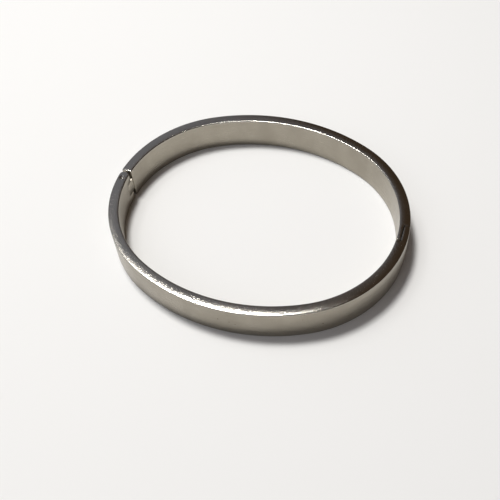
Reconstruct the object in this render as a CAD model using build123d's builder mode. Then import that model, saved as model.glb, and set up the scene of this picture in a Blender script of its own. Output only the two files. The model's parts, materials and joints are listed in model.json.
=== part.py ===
from build123d import *
import os
from math import atan2, degrees

# Hinged oval bangle in millimetres, closed and lying on its lower rim.
# Origin: centre of the oval on the resting plane. +X runs along the oval to the
# clasp, the hinge is at -X, the rear half is at +Y, the front half at -Y, +Z is up.

# Band
inner_length = 58.0
inner_width = 48.6
end_radius = 22.8          # inner face at the hinge and at the clasp
band_thickness = 2.2
band_height = 7.4
outer_edge_round = 0.15
inner_edge_round = 0.3

# Hinge: two ears of the front half hold the pin, the rear half's knuckle turns on it
pin_y = -1.1
pin_radius = 0.55
pin_recess = 0.08          # pin ends lie this far below the rims
pin_clearance = 0.04       # radial, in the knuckle
pin_countersink = 0.14
knuckle_radius = 1.0
slot_radius = 1.2          # floor of the slot between the ears
ear_height = 2.15
ear_gap = 0.06             # above and below the knuckle
ear_end_y = 0.77
ear_shoulder_y = -0.1      # where the rounding of the ears starts
rear_end_y = 1.08
rear_outer_bevel = 0.35
rear_inner_bevel = 0.15

# Clasp: the front half's outer lap covers the rear half's inner lap
lap_seam_x = 29.8          # outer face of the inner lap
lap_gap = 0.1
inner_lap_tip_y = -0.72
inner_lap_bevel = 0.4
front_shoulder_y = -1.05
outer_lap_tip_y = 2.86
lap_end_gap = 0.08

# Spring tongue: riveted in a pocket of the inner lap, it snaps into the front half
tongue_thickness = 0.28
tongue_width = 4.0
tongue_root_y = 2.3
tongue_tip_y = -4.2
tongue_play = 0.02         # tongue below the face of the inner lap
tongue_side_gap = 0.1
bump_y = -3.0
bump_start_y = -2.6
bump_height = 0.22
tip_drop = 0.12            # lead-in at the tip
relief_depth = 0.12        # lets the tongue bend towards the inner lap
relief_y = 1.0
socket_depth_y = -4.6
socket_wall_x = 29.28      # inner wall of the socket in the front half
catch_depth = 0.25
catch_start_y = -2.45
catch_end_y = -4.1
lip_end_y = -1.25          # the lip holds the tongue's catch between these two
run_out_depth = 0.16       # the catch rides free of the outer lap beyond the lip

# Countersunk rivets of the tongue
rivet_radius = 0.4
rivet_head_radius = 0.6
rivet_head_height = 0.18
rivet_recess = 0.04
rivet_y = 1.65
rivet_spacing = 2.2

# Worked out from the above
end_centre = inner_length / 2 - end_radius
half_width = inner_width / 2
side_radius = (end_centre**2 + half_width**2 - end_radius**2) / (2 * (half_width - end_radius))
side_centre = side_radius - half_width
blend_angle = degrees(atan2(side_centre, end_centre))
outer_x = inner_length / 2 + band_thickness
hinge_x = -(inner_length + band_thickness) / 2
mid_z = band_height / 2
far = inner_length         # safely outside the band
knuckle_bottom = ear_height + ear_gap
knuckle_height = band_height - 2 * knuckle_bottom
tongue_x = lap_seam_x - tongue_play
pocket_floor_x = tongue_x - tongue_thickness
lap_face_x = lap_seam_x + lap_gap
rear_shoulder_y = outer_lap_tip_y + lap_end_gap
tongue_bottom = mid_z - tongue_width / 2
slot_bottom = tongue_bottom - tongue_side_gap
slot_width = tongue_width + 2 * tongue_side_gap
rivet_levels = {"upper": mid_z + rivet_spacing / 2, "lower": mid_z - rivet_spacing / 2}
lap_inner_x = end_centre + (end_radius**2 - rivet_y**2) ** 0.5
rivet_head_x = lap_inner_x + rivet_recess

os.makedirs("parts", exist_ok=True)


def oval(offset):
    """Closed outline of four tangent arcs, offset outwards from the inner face."""
    end_r = end_radius + offset
    side_r = side_radius + offset
    with BuildLine() as outline:
        CenterArc((end_centre, 0), end_r, -blend_angle, 2 * blend_angle)
        CenterArc((0, -side_centre), side_r, blend_angle, 180 - 2 * blend_angle)
        CenterArc((-end_centre, 0), end_r, 180 - blend_angle, 2 * blend_angle)
        CenterArc((0, side_centre), side_r, 180 + blend_angle, 180 - 2 * blend_angle)
    return outline.line


# The closed band before it is parted, with its four rims rounded
with BuildPart() as closed_band:
    with BuildSketch():
        with BuildLine():
            add(oval(band_thickness))
        make_face()
        with BuildLine():
            add(oval(0))
        make_face(mode=Mode.SUBTRACT)
    extrude(amount=band_height)
    rims = closed_band.edges().filter_by(GeomType.CIRCLE).filter_by(Plane.XY)
    inner_radii = (end_radius, side_radius)
    inner_rims = rims.filter_by(lambda rim: min(abs(rim.radius - r) for r in inner_radii) < 0.001)
    outer_rims = rims.filter_by(lambda rim: rim not in inner_rims)
    fillet(outer_rims, outer_edge_round)
    fillet(inner_rims, inner_edge_round)

# Rear half: inner lap at the clasp, middle knuckle at the hinge
with BuildPart() as rear_band:
    add(closed_band.part)
    with BuildSketch():
        with BuildLine():
            Polyline(
                (0, inner_lap_tip_y),
                (lap_seam_x, inner_lap_tip_y),
                (lap_seam_x, rear_shoulder_y),
                (far, rear_shoulder_y),
                (far, -far),
                (-far, -far),
                (-far, rear_end_y + rear_outer_bevel),
                (-outer_x, rear_end_y + rear_outer_bevel),
                (-outer_x + rear_outer_bevel, rear_end_y),
                (-inner_length / 2 - rear_inner_bevel, rear_end_y),
                (-inner_length / 2 + rear_inner_bevel, rear_end_y + 2 * rear_inner_bevel),
                (0, rear_end_y + 2 * rear_inner_bevel),
                close=True,
            )
        make_face()
    extrude(amount=band_height, mode=Mode.SUBTRACT)
    # bevel on the inner corner of the lap's tip
    with BuildSketch():
        with BuildLine():
            Polyline(
                (inner_length / 2 - inner_lap_bevel, inner_lap_tip_y - inner_lap_bevel),
                (inner_length / 2 + inner_lap_bevel, inner_lap_tip_y - inner_lap_bevel / 4),
                (inner_length / 2 - inner_lap_bevel, inner_lap_tip_y + 2 * inner_lap_bevel),
                close=True,
            )
        make_face()
    extrude(amount=band_height, mode=Mode.SUBTRACT)
    # neck and knuckle in the middle of the height
    with BuildSketch(Plane.XY.offset(knuckle_bottom)):
        with Locations((hinge_x, pin_y)):
            Circle(knuckle_radius)
            Rectangle(2 * knuckle_radius, 2 * (rear_end_y - pin_y), align=(Align.CENTER, Align.MIN))
    extrude(amount=knuckle_height)
    with BuildSketch(Plane.XY.offset(knuckle_bottom)):
        with Locations((hinge_x, pin_y)):
            Circle(pin_radius + pin_clearance)
    extrude(amount=knuckle_height, mode=Mode.SUBTRACT)
    # pocket for the tongue, deeper towards the lap's tip
    with BuildSketch(Plane.XY.offset(slot_bottom)):
        with BuildLine():
            Polyline(
                (far, tongue_root_y + tongue_side_gap),
                (pocket_floor_x, tongue_root_y + tongue_side_gap),
                (pocket_floor_x, relief_y),
                (pocket_floor_x - relief_depth, relief_y - relief_depth),
                (pocket_floor_x - relief_depth, inner_lap_tip_y - tongue_side_gap),
                (far, inner_lap_tip_y - tongue_side_gap),
                close=True,
            )
        make_face()
    extrude(amount=slot_width, mode=Mode.SUBTRACT)
    # countersunk rivet holes through the pocket's floor
    for level in rivet_levels.values():
        with BuildSketch(Plane.XY.offset(level)):
            with BuildLine():
                Polyline(
                    (lap_inner_x - rivet_head_height, rivet_y),
                    (lap_inner_x - rivet_head_height, rivet_y + rivet_head_radius),
                    (rivet_head_x, rivet_y + rivet_head_radius),
                    (rivet_head_x + rivet_head_height, rivet_y + rivet_radius),
                    (lap_seam_x, rivet_y + rivet_radius),
                    (lap_seam_x, rivet_y),
                    close=True,
                )
            make_face()
        revolve(axis=Axis((0, rivet_y, level), (1, 0, 0)), mode=Mode.SUBTRACT)
rear_band.part.label = "rear_band"
export_step(rear_band.part, "parts/rear_band.step")

# Front half: ears at the hinge, outer lap and tongue socket at the clasp
with BuildPart() as front_band:
    add(closed_band.part)
    with BuildSketch():
        with BuildLine():
            Polyline(
                (-inner_length / 2 + band_thickness, ear_shoulder_y),
                (-inner_length / 2, ear_shoulder_y),
            )
            ThreePointArc(
                (-inner_length / 2, ear_shoulder_y),
                (hinge_x, ear_end_y),
                (-outer_x, ear_shoulder_y),
            )
            Polyline(
                (-outer_x, ear_shoulder_y),
                (-far, ear_shoulder_y),
                (-far, far),
                (far, far),
                (far, outer_lap_tip_y),
                (lap_face_x, outer_lap_tip_y),
                (lap_face_x, front_shoulder_y),
                (-inner_length / 2 + band_thickness, front_shoulder_y),
                (-inner_length / 2 + band_thickness, ear_shoulder_y),
            )
        make_face()
    extrude(amount=band_height, mode=Mode.SUBTRACT)
    # slot between the ears, with a round floor about the pin
    with BuildSketch(Plane.XY.offset(ear_height)):
        with Locations((hinge_x, pin_y)):
            Circle(slot_radius)
            Rectangle(2 * band_thickness, 2 * band_thickness, align=(Align.CENTER, Align.MIN))
    extrude(amount=band_height - 2 * ear_height, mode=Mode.SUBTRACT)
    # pin bore through both ears, countersunk at the rims
    with BuildSketch():
        with Locations((hinge_x, pin_y)):
            Circle(pin_radius)
    extrude(amount=band_height, mode=Mode.SUBTRACT)
    bore_mouths = (
        front_band.edges()
        .filter_by(GeomType.CIRCLE)
        .filter_by(lambda edge: abs(edge.radius - pin_radius) < 0.001)
        .group_by(Axis.Z)
    )
    chamfer(bore_mouths[0] + bore_mouths[-1], pin_countersink)
    # socket for the tongue, with a catch recess and a lip in its outer wall
    with BuildSketch(Plane.XY.offset(slot_bottom)):
        with BuildLine():
            Polyline(
                (socket_wall_x, socket_depth_y),
                (lap_face_x, socket_depth_y),
                (lap_face_x, catch_end_y),
                (lap_face_x + catch_depth, catch_end_y + catch_depth),
                (lap_face_x + catch_depth, catch_start_y - catch_depth / 2),
                (lap_face_x, catch_start_y),
                (lap_face_x, lip_end_y),
                (lap_face_x + run_out_depth, lip_end_y + run_out_depth),
                (lap_face_x + run_out_depth, outer_lap_tip_y + lap_gap),
                (socket_wall_x, outer_lap_tip_y + lap_gap),
                close=True,
            )
        make_face()
    extrude(amount=slot_width, mode=Mode.SUBTRACT)
front_band.part.label = "front_band"
export_step(front_band.part, "parts/front_band.step")

# Hinge pin, pressed into the ears
with BuildPart() as hinge_pin:
    with BuildSketch(Plane.XY.offset(pin_recess)):
        with Locations((hinge_x, pin_y)):
            Circle(pin_radius)
    extrude(amount=band_height - 2 * pin_recess)
    chamfer(hinge_pin.edges().filter_by(GeomType.CIRCLE), pin_countersink)
hinge_pin.part.label = "hinge_pin"
export_step(hinge_pin.part, "parts/hinge_pin.step")

# Spring tongue: a flat strip with a bent catch near its tip
with BuildPart() as clasp_tongue:
    with BuildSketch(Plane.XY.offset(tongue_bottom)):
        with BuildLine():
            Polyline(
                (tongue_x, tongue_root_y),
                (tongue_x, bump_start_y),
                (tongue_x + bump_height, bump_y),
                (tongue_x - tip_drop, tongue_tip_y),
                (pocket_floor_x - tip_drop, tongue_tip_y),
                (pocket_floor_x + bump_height, bump_y),
                (pocket_floor_x, bump_start_y),
                (pocket_floor_x, tongue_root_y),
                close=True,
            )
        make_face()
    extrude(amount=tongue_width)
    with BuildSketch(Plane.YZ.offset(pocket_floor_x)):
        with Locations(*[(rivet_y, level) for level in rivet_levels.values()]):
            Circle(rivet_radius)
    extrude(amount=tongue_thickness, mode=Mode.SUBTRACT)
clasp_tongue.part.label = "clasp_tongue"
export_step(clasp_tongue.part, "parts/clasp_tongue.step")

# Rivets of the tongue, their heads sunk in the inner lap
for place, level in rivet_levels.items():
    with BuildPart() as tongue_rivet:
        with BuildSketch(Plane.XY.offset(level)):
            with BuildLine():
                Polyline(
                    (rivet_head_x, rivet_y),
                    (rivet_head_x, rivet_y + rivet_head_radius),
                    (rivet_head_x + rivet_head_height, rivet_y + rivet_radius),
                    (tongue_x, rivet_y + rivet_radius),
                    (tongue_x, rivet_y),
                    close=True,
                )
            make_face()
        revolve(axis=Axis((0, rivet_y, level), (1, 0, 0)))
    name = "tongue_rivet_" + place
    tongue_rivet.part.label = name
    export_step(tongue_rivet.part, "parts/" + name + ".step")
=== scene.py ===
"""Looks of the hinged steel bangle: two polished half ovals, their hinge pin and the hidden spring catch.

The pieces are modelled in millimetres, in the frame of the CAD model, and brought to metres once finished.
"""

import json
from math import asin, atan2, cos, hypot, pi, radians, sin, sqrt

import bmesh
import bpy
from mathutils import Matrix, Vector


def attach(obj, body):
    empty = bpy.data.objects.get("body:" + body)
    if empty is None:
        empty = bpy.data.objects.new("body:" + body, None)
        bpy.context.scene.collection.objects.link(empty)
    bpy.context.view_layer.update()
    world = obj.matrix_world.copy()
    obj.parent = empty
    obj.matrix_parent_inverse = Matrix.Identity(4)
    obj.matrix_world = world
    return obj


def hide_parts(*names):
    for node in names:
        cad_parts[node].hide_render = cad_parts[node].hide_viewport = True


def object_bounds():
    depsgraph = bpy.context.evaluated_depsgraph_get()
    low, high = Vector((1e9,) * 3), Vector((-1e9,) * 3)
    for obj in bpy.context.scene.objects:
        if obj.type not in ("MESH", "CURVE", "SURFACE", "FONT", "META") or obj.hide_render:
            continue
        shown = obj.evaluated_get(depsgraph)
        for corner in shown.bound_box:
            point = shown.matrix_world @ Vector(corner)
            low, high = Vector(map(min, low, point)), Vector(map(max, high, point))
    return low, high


MM = 0.001
NEAR = 0.001  # how close a point counts as being at a place
ARC_STEPS = 44  # faces along each arc of the oval
LAP_STEPS = 8
EAR_STEPS = 4
EDGE_ANGLE = radians(35)  # sharper edges than this stay crisp
BEVEL_ANGLE = radians(50)  # sharper edges than this are broken with a small bevel
BAND_EDGE = 0.03  # width of that bevel on the bands
RING_PITCH = 0.05  # between the tool rings on turned ends
OVERREACH = 0.2  # how far a cutter goes past what it cuts

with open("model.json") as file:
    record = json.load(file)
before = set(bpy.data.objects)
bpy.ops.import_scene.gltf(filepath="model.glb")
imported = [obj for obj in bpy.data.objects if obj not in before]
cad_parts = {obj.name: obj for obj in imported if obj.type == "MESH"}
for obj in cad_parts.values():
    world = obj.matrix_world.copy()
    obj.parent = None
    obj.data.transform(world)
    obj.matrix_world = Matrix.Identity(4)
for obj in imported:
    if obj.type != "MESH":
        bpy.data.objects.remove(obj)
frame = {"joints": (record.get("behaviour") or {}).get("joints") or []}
cad_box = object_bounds()
joint = frame["joints"][0]

# Band, from the CAD model's box and its arcs
outer_x = cad_box[1][0] / MM
outer_y = cad_box[1][1] / MM
height = cad_box[1][2] / MM
wall = 2.2
end_radius = 22.8
half_length = outer_x - wall
half_width = outer_y - wall
end_centre = half_length - end_radius
side_radius = (end_centre**2 + half_width**2 - end_radius**2) / (2 * (half_width - end_radius))
side_centre = side_radius - half_width
blend_angle = atan2(side_centre, end_centre)
mid_radius = end_radius + wall / 2
middle = height / 2

# Section of the band
inner_round = 0.16
outer_round = 0.12
crown_tilt = radians(8)  # slope of the crowned rims at their edges

# Hinge
pin_x, pin_y = joint["pos_m"][0] / MM, joint["pos_m"][1] / MM
pin_radius = 0.55
pin_clearance = 0.004
pin_recess = 0.08
pin_end_round = 0.12
knuckle_radius = 1.0
knuckle_bore = 0.59
slot_radius = 1.2
ear_height = 2.15
ear_gap = 0.06
ear_shoulder_y = -0.1
ear_end_y = 0.77
rear_end_y = 1.08
rear_end_round = 0.2
rear_corner_ease = 0.16  # how much further back the outer corner of that end lies
countersink_depth = 0.14
countersink_above = 0.16  # how far its cutter stands out of the rim

# Clasp
seam_x = 29.8
lap_face_x = 29.9
front_shoulder_y = -1.05
outer_lap_tip_y = 2.86
rear_shoulder_y = 2.94
inner_lap_tip_y = -0.72
lap_tip_slant = 0.45

# Socket of the front half: a catch recess, a lip and a run-out for the tongue
socket_floor_x = 29.28
socket_end_y = -4.6
catch_depth = 0.25
catch_end_y, catch_start_y = -4.1, -2.45
lip_end_y = -1.25
run_out_depth = 0.16

# Pocket of the inner lap, deeper towards its tip
pocket_relief = 0.12
pocket_step_y = 1.0

# Spring tongue and its rivets
tongue_x = 29.78
tongue_thickness = 0.28
tongue_width = 4.0
tongue_root_y = 2.3
bump_start_y, bump_y, bump_end_y, tongue_tip_y = -2.6, -3.0, -3.6, -4.2
bump_height = 0.22
tip_drop = 0.12
tip_narrowing = 0.86
side_gap = 0.1
pocket_low, pocket_high = middle - tongue_width / 2 - side_gap, middle + tongue_width / 2 + side_gap
rivet_radius = 0.4
rivet_fit = 0.02
rivet_head_radius = 0.6
rivet_head_height = 0.18
rivet_head_x = 28.98
rivet_hole_x = 29.3
rivet_y = 1.65
rivet_spacing = 2.2
rivet_levels = {"upper": middle + rivet_spacing / 2, "lower": middle - rivet_spacing / 2}

# Metals
BAND_STEEL = (0.375, 0.342, 0.285)
BAND_STEEL_WORN = (0.335, 0.303, 0.25)
RUBBED_STEEL = (0.46, 0.44, 0.4)
PIT_BROWN = (0.09, 0.07, 0.05)
PIN_STEEL = (0.45, 0.43, 0.4)
GRIME = (0.14, 0.12, 0.1)
# near-black painted shade for the seam between the laps at the clasp
SEAM_PAINTED_SHADE = (0.003, 0.0025, 0.002)
SPRING_STEEL = (0.42, 0.4, 0.37)
TEMPER_STRAW = (0.42, 0.34, 0.22)

# Studio
FLOOR_PAINT = (0.86, 0.85, 0.82)
FLOOR_SIZE = 20.0
COOL_ROOM = (0.28, 0.29, 0.335)
WARM_ROOM = (0.07, 0.047, 0.03)
GREY_HAZE = (0.2, 0.2, 0.2)


# ---------------------------------------------------------------- modelling by hand
def only(piece):
    """Select this piece alone and make it the active one."""
    bpy.ops.object.select_all(action="DESELECT")
    piece.select_set(True)
    bpy.context.view_layer.objects.active = piece


def edit(piece):
    """Go into edit mode with all of the piece selected."""
    only(piece)
    bpy.ops.object.mode_set(mode="EDIT")
    bpy.ops.mesh.select_mode(type="VERT")
    bpy.ops.mesh.select_all(action="SELECT")


def leave_edit():
    bpy.ops.object.mode_set(mode="OBJECT")


def at(value, place, reach=NEAR):
    """Whether a value is at a place, or within reach of it."""
    return abs(value - place) < reach


def pick(piece, test, elements="VERT"):
    """In edit mode, select the vertices, or the faces by their centres, that pass the test."""
    bpy.ops.mesh.select_mode(type=elements)
    bpy.ops.mesh.select_all(action="DESELECT")
    mesh = bmesh.from_edit_mesh(piece.data)
    if elements == "VERT":
        for vert in mesh.verts:
            vert.select = test(vert.co)
    else:
        for face in mesh.faces:
            if test(face.calc_center_median()):
                face.select = True
    mesh.select_flush_mode()
    bmesh.update_edit_mesh(piece.data)


def across(piece, test, digits):
    """In edit mode, the rounded places along X of the vertices that pass the test."""
    mesh = bmesh.from_edit_mesh(piece.data)
    return sorted({round(vert.co.x, digits) for vert in mesh.verts if test(vert.co)})


def move(x=0.0, y=0.0, z=0.0):
    bpy.ops.transform.translate(value=(x, y, z))


def stretch(x, y, z, centre):
    bpy.ops.transform.resize(value=(x, y, z), center_override=centre)


def spin(steps, angle, centre_x, centre_y):
    """Sweep the selected faces about a vertical axis, counter-clockwise seen from above."""
    bpy.ops.mesh.spin(steps=steps, angle=-angle, center=(centre_x, centre_y, 0), axis=(0, 0, 1))


def extrude():
    bpy.ops.mesh.extrude_region_move()


def apply_modifier(piece, kind, **settings):
    modifier = piece.modifiers.new(kind.title(), kind)
    for name, value in settings.items():
        setattr(modifier, name, value)
    only(piece)
    bpy.ops.object.modifier_apply(modifier=modifier.name)


def cut(piece, cutter):
    apply_modifier(piece, "BOOLEAN", operation="DIFFERENCE", solver="EXACT", object=cutter)
    bpy.data.objects.remove(cutter)


def outwards(piece):
    """Merge doubles and turn the faces outwards."""
    edit(piece)
    bpy.ops.mesh.remove_doubles(threshold=0.0005)
    bpy.ops.mesh.normals_make_consistent(inside=False)
    leave_edit()


def finish_piece(piece, body, slot, *nodes):
    """Bring a finished piece from millimetres to metres and put it on its body."""
    only(piece)
    bpy.ops.object.transform_apply(location=True, rotation=True, scale=True)
    piece.scale = (MM, MM, MM)
    bpy.ops.object.transform_apply(location=True, rotation=True, scale=True)
    bpy.ops.object.shade_smooth_by_angle(angle=EDGE_ANGLE)
    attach(piece, body)
    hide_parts(*nodes)


def section(name, columns, rows, centre_x, angle):
    """The band's cross-section, standing on an end arc: a plane with rounded corners and crowned rims.

    Columns are cuts across the wall, from the inner face; rows are cuts across the height.
    """
    bpy.ops.object.select_all(action="DESELECT")
    bpy.ops.mesh.primitive_plane_add(size=1, location=(0, middle, 0))
    piece = bpy.context.object
    piece.name = piece.data.name = name
    piece.scale = (wall, height, 1)
    bpy.ops.object.transform_apply(location=True, rotation=True, scale=True)
    edit(piece)
    for column in columns:
        bpy.ops.mesh.select_all(action="SELECT")
        bpy.ops.mesh.bisect(plane_co=(column - wall / 2, 0, 0), plane_no=(1, 0, 0))
    for row in rows:
        bpy.ops.mesh.select_all(action="SELECT")
        bpy.ops.mesh.bisect(plane_co=(0, row, 0), plane_no=(0, 1, 0))
    for side, corner_round in ((-1, inner_round), (1, outer_round)):
        pick(piece, lambda co: at(co.x, side * wall / 2) and min(co.y, height - co.y) < NEAR)
        bpy.ops.mesh.bevel(offset=corner_round, segments=5, affect="VERTICES", profile=0.5)
    # crown both rims: the middle stays, the edges fall away
    crown_radius = wall / 2 / sin(crown_tilt)
    for x in across(piece, lambda co: min(co.y, height - co.y) < inner_round, 4):
        fall = crown_radius - sqrt(crown_radius**2 - x**2)
        for rim, inward in ((0, 1), (height, -1)):
            pick(piece, lambda co: at(co.x, x) and at(co.y, rim, inner_round + 10 * NEAR))
            move(y=inward * fall)
    leave_edit()
    piece.rotation_euler = (pi / 2, 0, angle)
    piece.location = (centre_x + mid_radius * cos(angle), mid_radius * sin(angle), 0)
    bpy.ops.object.transform_apply(location=True, rotation=True, scale=True)
    return piece


def prism(name, outline, bottom, top):
    """A straight block with a flat outline in plan, used to cut a pocket."""
    bpy.ops.object.select_all(action="DESELECT")
    bpy.ops.mesh.primitive_circle_add(vertices=len(outline), radius=1, fill_type="NGON", location=(0, 0, 0))
    piece = bpy.context.object
    piece.name = name
    edit(piece)
    mesh = bmesh.from_edit_mesh(piece.data)
    for vert, (x, y) in zip(mesh.verts, outline):
        vert.co = (x, y, bottom)
    bmesh.update_edit_mesh(piece.data)
    extrude()
    move(z=top - bottom)
    leave_edit()
    outwards(piece)
    return piece


def rod(name, radius, length, centre, axis="Z", corners=48):
    turn = {"Z": (0, 0, 0), "X": (0, pi / 2, 0)}[axis]
    bpy.ops.object.select_all(action="DESELECT")
    bpy.ops.mesh.primitive_cylinder_add(
        vertices=corners, radius=radius, depth=length, location=centre, rotation=turn
    )
    piece = bpy.context.object
    piece.name = piece.data.name = name
    bpy.ops.object.transform_apply(location=True, rotation=True, scale=True)
    return piece


def nose(reach, axis_x, low, high, steps=12, last_angle=radians(84), edge_round=0.22):
    """Carry the selected end faces on along Y into a rounded nose that ends `reach` further on.

    Its edges at the low and high levels are rounded off towards the tip.
    """
    done, width, depth = 0.0, 1.0, 1.0
    for step in range(1, steps + 1):
        angle = last_angle * step / steps
        from_tip = abs(reach) * (1 - sin(angle))
        inside = max(edge_round - from_tip, 0)
        fall = edge_round - sqrt(edge_round**2 - inside**2)
        shallower = 1 - 2 * fall / (high - low)
        extrude()
        move(y=reach * sin(angle) - done)
        stretch(cos(angle) / width, 1, shallower / depth, (axis_x, 0, (low + high) / 2))
        done, width, depth = reach * sin(angle), cos(angle), shallower


def soften(piece, width):
    """Break the sharp edges with a small bevel."""
    apply_modifier(
        piece,
        "BEVEL",
        width=width,
        segments=2,
        limit_method="ANGLE",
        angle_limit=BEVEL_ANGLE,
        use_clamp_overlap=True,
    )


# ---------------------------------------------------------------- front half
def make_front_band():
    cap_y = pin_y - sqrt(slot_radius**2 - (wall / 2) ** 2)
    start = pi + asin(-cap_y / mid_radius)
    low_ear, high_ear = ear_height, height - ear_height
    lap = lap_face_x - half_length
    columns = (0.45, lap, 1.35, 1.8)
    piece = section("front_band_steel", columns, (low_ear, high_ear), -end_centre, start)
    # sweep the bar round the front of the oval, from the hinge to the clasp
    edit(piece)
    stop = asin(front_shoulder_y / mid_radius)
    spin(ARC_STEPS, pi + blend_angle - start, -end_centre, 0)
    spin(ARC_STEPS, pi - 2 * blend_angle, 0, side_centre)
    spin(ARC_STEPS, blend_angle + stop, end_centre, 0)
    stretch(1, 0, 1, (0, front_shoulder_y, 0))
    add_outer_lap(piece, lap, stop)
    # flat end at the hinge, the ears on it, and the round floor of the slot between them
    pick(piece, lambda co: co.x < 0 and at(co.y, cap_y, wall * sin(start - pi)))
    stretch(1, 0, 1, (0, cap_y, 0))
    for level in (0, high_ear):
        pick(piece, lambda co: co.x < 0 and at(co.y, cap_y) and 0 < co.z - level < ear_height, "FACE")
        spin(EAR_STEPS, asin(-ear_shoulder_y / mid_radius) - (start - pi), -end_centre, 0)
        stretch(1, 0, 1, (0, ear_shoulder_y, 0))
        nose(ear_end_y - ear_shoulder_y, pin_x, level, level + ear_height)

    def on_floor(co):
        return co.x < 0 and at(co.y, cap_y) and low_ear - NEAR < co.z < high_ear + NEAR

    for x in across(piece, on_floor, 3):
        pick(piece, lambda co: on_floor(co) and at(co.x, x))
        move(y=pin_y - sqrt(max(slot_radius**2 - (x - pin_x) ** 2, 0)) - cap_y)
    leave_edit()
    outwards(piece)
    soften(piece, BAND_EDGE)
    # bore for the pin, countersunk at both rims, and the socket for the tongue
    cut(piece, rod("bore", pin_radius, 2 * height, (pin_x, pin_y, middle)))
    for level, way in ((0, 1), (height, -1)):
        cut(piece, countersink(level, way))
    cut(piece, prism("socket", socket_outline(), pocket_low, pocket_high))
    return piece


def add_outer_lap(piece, lap, shoulder_angle):
    """Carry the outer part of the bar on past its shoulder at the clasp, with a flat inner side."""
    pick(piece, lambda co: co.x > lap_face_x and at(co.y, front_shoulder_y), "FACE")
    tip_angle = asin(outer_lap_tip_y / (end_radius + (lap + wall) / 2))
    spin(LAP_STEPS, tip_angle - shoulder_angle, end_centre, 0)
    stretch(1, 0, 1, (0, outer_lap_tip_y, 0))
    pick(piece, lambda co: co.y > front_shoulder_y - NEAR and on_seam(co, lap))
    stretch(0, 1, 1, (lap_face_x, 0, 0))


def on_seam(co, lap):
    """Whether a point at the clasp is on the arc where the two laps meet."""
    return co.x > half_length / 2 and at(hypot(co.x - end_centre, co.y), end_radius + lap, 0.04)


def countersink(level, way):
    """A cone that opens the pin's bore at a rim."""
    bpy.ops.object.select_all(action="DESELECT")
    bpy.ops.mesh.primitive_cone_add(
        vertices=48,
        radius1=pin_radius + 0.04,
        radius2=pin_radius + countersink_depth + OVERREACH,
        depth=countersink_depth + countersink_above,
        location=(pin_x, pin_y, level + way * (countersink_depth - countersink_above) / 2),
        rotation=(0 if way < 0 else pi, 0, 0),
    )
    piece = bpy.context.object
    bpy.ops.object.transform_apply(location=True, rotation=True, scale=True)
    return piece


def socket_outline():
    return [
        (socket_floor_x, socket_end_y),
        (lap_face_x, socket_end_y),
        (lap_face_x, catch_end_y),
        (lap_face_x + catch_depth, catch_end_y + catch_depth),
        (lap_face_x + catch_depth, catch_start_y - catch_depth / 2),
        (lap_face_x, catch_start_y),
        (lap_face_x, lip_end_y),
        (lap_face_x + run_out_depth, lip_end_y + run_out_depth),
        (lap_face_x + run_out_depth, outer_lap_tip_y + OVERREACH),
        (socket_floor_x, outer_lap_tip_y + OVERREACH),
    ]


# ---------------------------------------------------------------- rear half
def make_rear_band():
    low, high = ear_height + ear_gap, height - ear_height - ear_gap
    lap = seam_x - half_length
    start = asin(rear_shoulder_y / mid_radius)
    # cuts that come to the neck's edges, and just beyond them, once the end is rounded
    spread = middle / (middle - rear_end_round)
    reaches = (high - middle, high - middle + 0.1)
    rows = [middle + side * reach * spread for side in (-1, 1) for reach in reaches]
    piece = section("rear_band_steel", (0.4, lap, 1.3, 1.75), rows, end_centre, start)
    # sweep the bar round the back of the oval, from the clasp to the hinge
    edit(piece)
    spin(ARC_STEPS, blend_angle - start, end_centre, 0)
    spin(ARC_STEPS, pi - 2 * blend_angle, 0, -side_centre)
    round_start_y = rear_end_y + rear_end_round
    spin(ARC_STEPS, blend_angle - asin(round_start_y / mid_radius), -end_centre, 0)
    stretch(1, 0, 1, (0, round_start_y, 0))
    round_rear_end(piece, high - middle)
    # neck and knuckle in the middle of the height
    pick(piece, lambda co: co.x < 0 and at(co.y, rear_end_y) and low < co.z < high, "FACE")
    extrude()
    move(y=pin_y - rear_end_y)
    stretch(knuckle_radius / (wall / 2 - rear_end_round), 1, 1, (pin_x, 0, 0))
    nose(-knuckle_radius, pin_x, low, high, edge_round=0.1)
    add_inner_lap(piece, lap, start)
    leave_edit()
    outwards(piece)
    soften(piece, BAND_EDGE)
    cut(piece, rod("bore", knuckle_bore, height, (pin_x, pin_y, middle)))
    cut(piece, prism("pocket", pocket_outline(), pocket_low, pocket_high))
    for level in reversed(rivet_levels.values()):
        cut(piece, rod("hole", rivet_radius + rivet_fit, 1.4, (rivet_hole_x, rivet_y, level), "X", 32))
        cut(piece, rivet_seat(level))
    return piece


def round_rear_end(piece, neck_reach):
    """Round the selected end faces at the hinge all round, and more at the outer corner, beside the neck."""
    steps, done, inset = 4, 0.0, 0.0
    for step in range(1, steps + 1):
        angle = pi / 2 * step / steps
        forward, inward = rear_end_round * sin(angle), rear_end_round * (1 - cos(angle))
        narrower = (wall / 2 - inward) / (wall / 2 - inset)
        shallower = (middle - inward) / (middle - inset)
        extrude()
        move(y=done - forward)
        stretch(narrower, 1, shallower, (pin_x, 0, middle))
        done, inset = forward, inward

    def at_corner(co):
        beside_neck = abs(co.z - middle) > neck_reach + 0.05
        return co.x < -outer_x + rear_end_round + 0.06 and at(co.y, rear_end_y) and beside_neck

    pick(piece, at_corner)
    move(y=rear_corner_ease)


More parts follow.
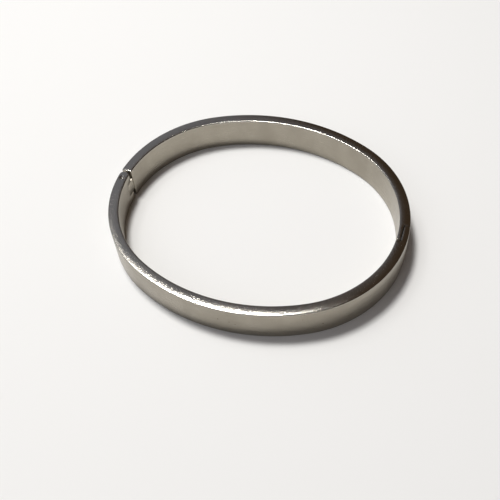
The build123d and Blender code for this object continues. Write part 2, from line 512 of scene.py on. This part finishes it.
def add_inner_lap(piece, lap, shoulder_angle):
    """Carry the inner part of the bar on past its shoulder, with a flat outer side and a slanted tip."""
    pick(piece, lambda co: co.x > half_length / 2 and at(co.y, rear_shoulder_y, wall * sin(shoulder_angle)))
    stretch(1, 0, 1, (0, rear_shoulder_y, 0))
    pick(piece, lambda co: half_length / 2 < co.x < seam_x - 0.1 and at(co.y, rear_shoulder_y), "FACE")
    spin(LAP_STEPS, asin(inner_lap_tip_y / (end_radius + lap / 2)) - shoulder_angle, end_centre, 0)
    stretch(1, 0, 1, (0, inner_lap_tip_y, 0))
    pick(piece, lambda co: co.y < rear_shoulder_y + NEAR and on_seam(co, lap))
    stretch(0, 1, 1, (seam_x, 0, 0))
    for edge_x, back in ((half_length, lap_tip_slant), (half_length + 0.4, 0.1)):
        pick(piece, lambda co: at(co.x, edge_x, 0.12) and at(co.y, inner_lap_tip_y))
        move(y=back)


def pocket_outline():
    floor_x = tongue_x - tongue_thickness
    return [
        (floor_x, tongue_root_y + side_gap),
        (floor_x, pocket_step_y),
        (floor_x - pocket_relief, pocket_step_y - pocket_relief),
        (floor_x - pocket_relief, inner_lap_tip_y - OVERREACH),
        (seam_x + OVERREACH, inner_lap_tip_y - OVERREACH),
        (seam_x + OVERREACH, tongue_root_y + side_gap),
    ]


def rivet_seat(level):
    """A cone that sinks a rivet's head into the inner face."""
    tall = 2 * OVERREACH
    bpy.ops.object.select_all(action="DESELECT")
    bpy.ops.mesh.primitive_cone_add(
        vertices=32,
        radius1=rivet_head_radius + 0.22,
        radius2=rivet_radius,
        depth=tall,
        location=(rivet_head_x + rivet_head_height - tall / 2, rivet_y, level),
        rotation=(0, pi / 2, 0),
    )
    return bpy.context.object


# ---------------------------------------------------------------- pin, tongue and rivets
def make_pin():
    """Turned pin with dished ends."""
    low, high = pin_recess, height - pin_recess
    piece = rod("hinge_pin_steel", pin_radius - pin_clearance, high - low, (pin_x, pin_y, middle))
    for level, inward in ((low, 1), (high, -1)):
        edit(piece)
        pick(piece, lambda co: at(co.z, level), "FACE")
        bpy.ops.mesh.inset(thickness=0.14)
        for size, depth in ((0.8, 0.06), (0.45, 0.1), (0.3, 0.03)):
            bpy.ops.mesh.inset(thickness=0.02)
            move(z=inward * depth)
            stretch(size, size, 1, (pin_x, pin_y, level))
        pick(piece, lambda co: at(co.z, level) and hypot(co.x - pin_x, co.y - pin_y) > pin_radius - 0.02)
        move(z=inward * pin_end_round)
        leave_edit()
    outwards(piece)
    return piece


def make_tongue():
    """Spring strip bent into a catch near its tip."""
    stub = 0.1
    bpy.ops.object.select_all(action="DESELECT")
    bpy.ops.mesh.primitive_cube_add(
        size=1, location=(tongue_x - tongue_thickness / 2, tongue_root_y - stub / 2, middle)
    )
    piece = bpy.context.object
    piece.name = piece.data.name = "clasp_tongue_spring"
    piece.scale = (tongue_thickness, stub, tongue_width)
    bpy.ops.object.transform_apply(location=True, rotation=True, scale=True)
    edit(piece)
    pick(piece, lambda co: co.y < tongue_root_y - 0.9 * stub, "FACE")
    # where the strip goes from its root: along Y, and out of the lap's flat side
    route = (
        (pocket_step_y, 0),
        (bump_start_y, 0),
        (bump_y + 0.1, 0.92 * bump_height),
        (bump_y - 0.08, bump_height),
        (bump_end_y, 0.08),
        (tongue_tip_y, -tip_drop),
    )
    last_y, last_out = tongue_root_y - stub, 0.0
    for y, out in route:
        extrude()
        move(x=out - last_out, y=y - last_y)
        last_y, last_out = y, out
    pick(piece, lambda co: co.y < tongue_tip_y + 0.02 and abs(co.z - middle) > 1)
    stretch(1, 1, tip_narrowing, (0, 0, middle))
    leave_edit()
    soften(piece, 0.05)
    for level in reversed(rivet_levels.values()):
        cut(piece, rod("hole", rivet_radius + rivet_fit, 2, (tongue_x, rivet_y, level), "X", 32))
    outwards(piece)
    return piece


def make_rivet(name, level):
    """Rivet with a sunk, slightly domed head, upset flush on the tongue."""
    length = tongue_x - rivet_head_x - rivet_head_height
    piece = rod(name, rivet_radius, length, (tongue_x - length / 2, rivet_y, level), "X", 32)
    edit(piece)
    pick(piece, lambda co: co.x < rivet_head_x + rivet_head_height + 0.01, "FACE")
    extrude()
    move(x=-rivet_head_height)
    wider = (rivet_head_radius - rivet_fit) / rivet_radius
    stretch(1, wider, wider, (0, rivet_y, level))
    for size, rise in ((0.85, 0.03), (0.6, 0.02), (0.3, 0.01)):
        bpy.ops.mesh.inset(thickness=0.01)
        move(x=-rise)
        stretch(1, size, size, (0, rivet_y, level))
    leave_edit()
    outwards(piece)
    soften(piece, 0.02)
    return piece


# ---------------------------------------------------------------- finishes
class Finish:
    """A metal finish in the making: its nodes are added and wired one after another."""

    def __init__(self, name, metal):
        self.material = bpy.data.materials.new(name)
        self.material.use_nodes = True
        self.tree = self.material.node_tree
        self.shader = self.tree.nodes["Principled BSDF"]
        self.shader.inputs["Metallic"].default_value = 1
        self.shader.inputs["Base Color"].default_value = (*metal, 1)
        self.spot = self.node("ShaderNodeTexCoord").outputs["Object"]

    def node(self, kind, feeds=None, **options):
        """Add a node with its options, and feed its sockets with plain values or other nodes' outputs."""
        new = self.tree.nodes.new(kind)
        for option, value in options.items():
            setattr(new, option, value)
        for socket, value in (feeds or {}).items():
            if isinstance(value, bpy.types.NodeSocket):
                self.tree.links.new(value, new.inputs[socket])
            else:
                new.inputs[socket].default_value = value
        return new

    def math(self, operation, first, second=0.0):
        return self.node("ShaderNodeMath", {0: first, 1: second}, operation=operation).outputs[0]

    def ramp(self, value, low, high, to_low=0.0, to_high=1.0):
        """Carry a value smoothly from one range to another, held at both ends."""
        feeds = {"Value": value, "From Min": low, "From Max": high, "To Min": to_low, "To Max": to_high}
        return self.node("ShaderNodeMapRange", feeds, interpolation_type="SMOOTHSTEP").outputs["Result"]

    def stretched(self, scale, turn=(0, 0, 0), shift=(0, 0, 0)):
        feeds = {"Vector": self.spot, "Scale": scale, "Rotation": turn, "Location": shift}
        return self.node("ShaderNodeMapping", feeds).outputs["Vector"]

    def noise(self, spot, scale, detail=4.0, roughness=0.6):
        feeds = {"Vector": spot, "Scale": scale, "Detail": detail, "Roughness": roughness}
        return self.node("ShaderNodeTexNoise", feeds).outputs["Fac"]

    def scratches(self, scale, turn, shift, width):
        """Thin hair scratches: the level lines of a stretched noise, broken up by a second one."""
        lines = self.noise(self.stretched(scale, turn, shift), 1.0, 1.0, 0.4)
        off_line = self.math("ABSOLUTE", self.math("SUBTRACT", lines, 0.5))
        thin = self.ramp(off_line, 0.0, width, 1.0, 0.0)
        broken = self.ramp(self.noise(self.spot, 420.0, 2.0), 0.48, 0.6)
        return self.math("MULTIPLY", thin, broken)

    def mix_colour(self, factor, first, second):
        new = self.node("ShaderNodeMix", data_type="RGBA")
        for socket, value in ((new.inputs[0], factor), (new.inputs[6], first), (new.inputs[7], second)):
            if isinstance(value, bpy.types.NodeSocket):
                self.tree.links.new(value, socket)
            else:
                socket.default_value = (*value, 1)
        return new.outputs[2]

    def colour(self, output):
        self.tree.links.new(output, self.shader.inputs["Base Color"])

    def roughness(self, output):
        self.tree.links.new(output, self.shader.inputs["Roughness"])

    def relief(self, *layers):
        """Bumps, each a height and its depth in metres, laid one over another."""
        normal = None
        for height_map, depth in layers:
            feeds = {"Height": height_map, "Distance": depth, "Strength": 1.0}
            if normal is not None:
                feeds["Normal"] = normal
            normal = self.node("ShaderNodeBump", feeds).outputs["Normal"]
        self.tree.links.new(normal, self.shader.inputs["Normal"])


def band_finish(name, shift):
    """Steel brushed along the band, with scuffed rims, scratches, pits, smudges and painted shade along the
    seam of the laps in the clasp.

    The shift moves the pattern, so that both halves aren't marked alike.
    """
    steel = Finish(name, BAND_STEEL)
    along = steel.node("ShaderNodeSeparateXYZ", {"Vector": steel.spot}).outputs

    def distance(axis, level):
        return steel.math("ABSOLUTE", steel.math("SUBTRACT", along[axis], level * MM))

    # where the rims, their edges and the seam of the laps are; the seam is darkened with painted shade
    from_middle = distance("Z", middle)
    rim = steel.ramp(from_middle, (middle - 0.32) * MM, (middle - 0.16) * MM)
    face = steel.math("SUBTRACT", 1.0, rim)
    corner = steel.ramp(from_middle, (middle - 0.55) * MM, (middle - 0.12) * MM)
    beside_seam = steel.ramp(distance("X", (seam_x + lap_face_x) / 2), 0.06 * MM, 0.17 * MM, 1.0, 0.0)
    laps_middle = (front_shoulder_y + rear_shoulder_y) / 2
    laps_reach = (rear_shoulder_y - front_shoulder_y) / 2
    reach_low, reach_high = (laps_reach - 0.05) * MM, (laps_reach + 0.05) * MM
    at_laps = steel.ramp(distance("Y", laps_middle), reach_low, reach_high, 1.0, 0.0)
    # painted shade along the seam between the laps
    grime_and_seam_shade = steel.math("MULTIPLY", beside_seam, at_laps)

    # marks of making and wear
    even = steel.stretched((1, 1, 1), shift=shift)
    grain = steel.noise(steel.stretched((1, 1, 26), shift=shift), 330.0, 7.0, 0.68)
    cross_grain = steel.noise(steel.stretched((14, 14, 1), shift=shift), 260.0, 4.0, 0.6)
    scuff = steel.noise(even, 7000.0, 4.0, 0.6)
    dents = steel.noise(even, 2300.0, 3.0, 0.5)
    smudge = steel.noise(steel.stretched((1, 1, 0.6), shift=shift), 150.0, 4.0, 0.55)
    long_scratch = steel.scratches((60, 60, 900), (0.12, 0.05, 0.4), shift, 0.006)
    stray_scratch = steel.scratches((240, 700, 420), (0.9, 0.3, 1.1), shift, 0.004)
    pits = steel.node("ShaderNodeTexVoronoi", {"Vector": even, "Scale": 900.0}).outputs
    near_pit = steel.ramp(pits["Distance"], 0.07, 0.16, 1.0, 0.0)
    draw = steel.node("ShaderNodeSeparateColor", {"Color": pits["Color"]}).outputs["Red"]
    pit = steel.math("MULTIPLY", near_pit, steel.ramp(draw, 0.95, 0.96))

    worn = steel.mix_colour(steel.ramp(smudge, 0.35, 0.7), BAND_STEEL, BAND_STEEL_WORN)
    rubbed = steel.mix_colour(steel.math("MULTIPLY", corner, 0.6), worn, RUBBED_STEEL)
    marked = steel.mix_colour(steel.math("MULTIPLY", long_scratch, 0.35), rubbed, RUBBED_STEEL)
    pitted = steel.mix_colour(steel.math("MULTIPLY", pit, 0.8), marked, PIT_BROWN)
    # the seam between the laps is coloured near black: painted shade
    steel.colour(steel.mix_colour(grime_and_seam_shade, pitted, SEAM_PAINTED_SHADE))

    on_face = steel.ramp(grain, 0.25, 0.75, 0.24, 0.4)
    on_rim = steel.ramp(scuff, 0.3, 0.75, 0.06, 0.14)
    surface = steel.math("ADD", steel.math("MULTIPLY", on_face, face), steel.math("MULTIPLY", on_rim, rim))
    handled = steel.math("ADD", surface, steel.ramp(smudge, 0.3, 0.7, -0.02, 0.05))
    dull = steel.math("MULTIPLY", steel.math("MAXIMUM", pit, grime_and_seam_shade), 0.3)
    steel.roughness(steel.math("ADD", handled, dull))

    both_grains = steel.math("ADD", grain, steel.math("MULTIPLY", cross_grain, 0.5))
    steel.relief(
        (steel.math("MULTIPLY", both_grains, face), 0.000007),
        (steel.math("MULTIPLY", scuff, rim), 0.00002),
        (steel.math("MULTIPLY", dents, rim), 0.000028),
        (steel.math("MULTIPLY", steel.math("MAXIMUM", long_scratch, stray_scratch), -1.0), 0.000002),
        (steel.math("MULTIPLY", pit, -1.0), 0.00001),
    )
    return steel.material


def turned_finish(name, axis, centre):
    """Steel turned on a lathe: fine rings about its axis, with a little grime here and there."""
    steel = Finish(name, PIN_STEEL)
    square_to_axis = [0 if letter == axis else 1 for letter in "XYZ"]
    shift = [-MM * level * kept for level, kept in zip(centre, square_to_axis)]
    from_axis = steel.stretched(square_to_axis, shift=shift)
    radius = steel.node("ShaderNodeVectorMath", {0: from_axis}, operation="LENGTH").outputs["Value"]
    rings = steel.math("SINE", steel.math("MULTIPLY", radius, 2 * pi / (RING_PITCH * MM)))
    wobble = steel.noise(steel.spot, 5200.0, 4.0, 0.6)
    turned = steel.math("ADD", steel.math("MULTIPLY", rings, 0.25), wobble)
    grime_and_seam_shade = steel.ramp(wobble, 0.5, 0.66)
    steel.colour(steel.mix_colour(steel.math("MULTIPLY", grime_and_seam_shade, 0.5), PIN_STEEL, GRIME))
    steel.roughness(steel.ramp(turned, 0.2, 0.9, 0.16, 0.36))
    steel.relief((turned, 0.000004))
    return steel.material


def spring_finish(name):
    """Rolled spring strip: grain along its length, a straw temper tint and rub marks on the catch."""
    steel = Finish(name, SPRING_STEEL)
    grain = steel.noise(steel.stretched((1, 0.04, 1)), 9000.0, 5.0, 0.65)
    tint = steel.ramp(steel.noise(steel.spot, 500.0, 3.0), 0.35, 0.65)
    along = steel.node("ShaderNodeSeparateXYZ", {"Vector": steel.spot}).outputs["Y"]
    on_catch = steel.ramp(along, (bump_y - 0.7) * MM, (bump_y + 0.7) * MM, 1.0, 0.0)
    rub = steel.math("MULTIPLY", on_catch, steel.ramp(grain, 0.4, 0.62))
    tempered = steel.mix_colour(steel.math("MULTIPLY", tint, 0.5), SPRING_STEEL, TEMPER_STRAW)
    steel.colour(steel.mix_colour(rub, tempered, RUBBED_STEEL))
    steel.roughness(steel.ramp(grain, 0.25, 0.75, 0.22, 0.4))
    steel.relief((grain, 0.000005))
    return steel.material


def lay_on(piece, material):
    piece.data.materials.clear()
    piece.data.materials.append(material)


front_band = make_front_band()
rear_band = make_rear_band()
hinge_pin = make_pin()
tongue = make_tongue()
rivets = {which: make_rivet(f"tongue_rivet_{which}_steel", level) for which, level in rivet_levels.items()}
lay_on(front_band, band_finish("front_band_brushed", (0, 0, 0)))
lay_on(rear_band, band_finish("rear_band_brushed", (0.031, 0.017, 0.023)))
lay_on(hinge_pin, turned_finish("hinge_pin_turned", "Z", (pin_x, pin_y, 0)))
lay_on(tongue, spring_finish("spring_strip"))
for which, rivet in rivets.items():
    lay_on(rivet, turned_finish(f"tongue_rivet_turned_{which}", "X", (0, rivet_y, rivet_levels[which])))
finish_piece(front_band, "front_half", "band_steel", "front_band")
finish_piece(hinge_pin, "front_half", "pin_steel", "hinge_pin")
finish_piece(rear_band, "rear_half", "band_steel", "rear_band")
finish_piece(tongue, "rear_half", "spring_steel", "clasp_tongue")
for which, rivet in rivets.items():
    finish_piece(rivet, "rear_half", "pin_steel", f"tongue_rivet_{which}")


# ---------------------------------------------------------------- floor, light and camera
def make_floor():
    bpy.ops.object.select_all(action="DESELECT")
    bpy.ops.mesh.primitive_plane_add(size=FLOOR_SIZE, location=(0, 0, 0))
    floor = bpy.context.object
    floor.name = "floor"
    material = bpy.data.materials.new("floor_paint")
    material.use_nodes = True
    shader = material.node_tree.nodes["Principled BSDF"]
    shader.inputs["Base Color"].default_value = (*FLOOR_PAINT, 1)
    shader.inputs["Roughness"].default_value = 0.9
    floor.data.materials.append(material)


def aim(holder, target):
    holder.rotation_euler = (target - holder.location).to_track_quat("-Z", "Y").to_euler()


view_azimuth, view_elevation, view_roll = radians(23.05), radians(52.32), radians(-4.98)
view_target = Vector((1.46, -9.04, 3.71)) * MM
view_distance = 146.22 * MM


def around(azimuth, elevation, distance):
    """A point around the view target: azimuth 0 is on the camera's side, and less than 0 is on its left."""
    turn = view_azimuth + azimuth
    flat = cos(elevation)
    return view_target + distance * Vector((sin(turn) * flat, -cos(turn) * flat, sin(elevation)))


def make_camera():
    data = bpy.data.cameras.new("view")
    data.lens = 52.26
    data.clip_start = 0.002
    camera = bpy.data.objects.new("view", data)
    bpy.context.scene.collection.objects.link(camera)
    camera.location = around(0, view_elevation, view_distance)
    aim(camera, view_target)
    camera.rotation_euler.rotate_axis("Z", view_roll)
    bpy.context.scene.camera = camera


def soft_light(name, azimuth, elevation, distance, size, power, roll=0.0):
    """A rectangular lamp facing the bangle, its angles and roll in degrees."""
    data = bpy.data.lights.new(name, "AREA")
    data.shape = "RECTANGLE"
    data.size, data.size_y = size
    data.energy = power
    light = bpy.data.objects.new(name, data)
    bpy.context.scene.collection.objects.link(light)
    light.location = around(radians(azimuth), radians(elevation), distance)
    aim(light, view_target)
    light.rotation_euler.rotate_axis("Z", radians(roll))


def make_world():
    """A dim room, cool on the left of the view and warm on its right, over a grey haze along the horizon."""
    world = bpy.data.worlds.new("studio")
    world.use_nodes = True
    tree = world.node_tree

    def blend(value, low, high, *colours):
        """Go smoothly from the first colour to the second while the value goes from low to high."""
        share = tree.nodes.new("ShaderNodeMapRange")
        share.interpolation_type = "SMOOTHSTEP"
        share.inputs["From Min"].default_value = low
        share.inputs["From Max"].default_value = high
        mix = tree.nodes.new("ShaderNodeMix")
        mix.data_type = "RGBA"
        tree.links.new(value, share.inputs["Value"])
        tree.links.new(share.outputs["Result"], mix.inputs[0])
        for socket, colour in zip((mix.inputs[6], mix.inputs[7]), colours):
            if isinstance(colour, bpy.types.NodeSocket):
                tree.links.new(colour, socket)
            else:
                socket.default_value = (*colour, 1)
        return mix.outputs[2]

    direction = tree.nodes.new("ShaderNodeTexCoord").outputs["Generated"]
    rightward = tree.nodes.new("ShaderNodeVectorMath")
    rightward.operation = "DOT_PRODUCT"
    rightward.inputs[1].default_value = (cos(view_azimuth), sin(view_azimuth), 0)
    upward = tree.nodes.new("ShaderNodeSeparateXYZ")
    tree.links.new(direction, rightward.inputs[0])
    tree.links.new(direction, upward.inputs["Vector"])
    room = blend(rightward.outputs["Value"], -0.08, 0.14, COOL_ROOM, WARM_ROOM)
    sky = blend(upward.outputs["Z"], 0.15, 0.5, GREY_HAZE, room)
    tree.links.new(sky, tree.nodes["Background"].inputs["Color"])
    bpy.context.scene.world = world


make_floor()
make_camera()
make_world()
soft_light("key_lamp", -143, 73.5, 0.6, (0.11, 0.11), 2.55)
soft_light("back_left_softbox", -138, 67.2, 0.6, (0.3, 0.1), 0.52, -30)
soft_light("left_strip", -137, 57.5, 0.6, (0.09, 0.14), 0.22, -29)
soft_light("front_left_fill", -50, 45, 0.7, (0.3, 0.3), 0.2)
bpy.context.scene.view_settings.view_transform = "Standard"
